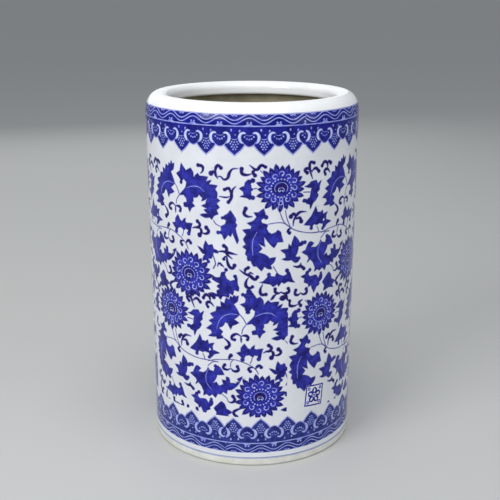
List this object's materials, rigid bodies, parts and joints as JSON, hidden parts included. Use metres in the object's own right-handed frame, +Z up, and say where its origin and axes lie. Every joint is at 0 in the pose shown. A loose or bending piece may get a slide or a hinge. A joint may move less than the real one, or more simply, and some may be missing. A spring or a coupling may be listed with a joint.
{
  "type": "brush holder pot",
  "caption": "Tall round porcelain pot with a rolled lip, foot ring and blue scrollwork, for standing calligraphy brushes or scrolls in.",
  "frame": {"origin": "centre of the foot's underside, on the pot's axis", "axes": "+Z up the pot's axis to its mouth; -Y is the front, where the two lower scroll transfers meet just right of centre"},
  "size_m": [0.1835, 0.1835, 0.31],
  "materials": {
    "wall_glaze": "gloss",
    "lip_glaze": "gloss",
    "floor_glaze": "gloss",
    "foot_glaze": "gloss on the side, bare and matt underneath",
    "border_print": "gloss",
    "scroll_print": "gloss",
    "mark_print": "gloss"
  },
  "bodies": {
    "root": {"pot_wall": "wall_glaze", "rolled_lip": "lip_glaze", "floor_slab": "floor_glaze", "foot_ring": "foot_glaze", "blossom_mark_transfer": "mark_print", "upper_border_transfer_1": "border_print", "upper_border_transfer_2": "border_print", "upper_border_transfer_3": "border_print", "upper_border_transfer_4": "border_print", "upper_scroll_transfer_1": "scroll_print", "upper_scroll_transfer_2": "scroll_print", "upper_scroll_transfer_3": "scroll_print", "upper_scroll_transfer_4": "scroll_print", "lower_scroll_transfer_1": "scroll_print", "lower_scroll_transfer_2": "scroll_print", "lower_scroll_transfer_3": "scroll_print", "lower_scroll_transfer_4": "scroll_print", "lower_border_transfer_1": "border_print", "lower_border_transfer_2": "border_print", "lower_border_transfer_3": "border_print", "lower_border_transfer_4": "border_print"}
  },
  "joints": []
}
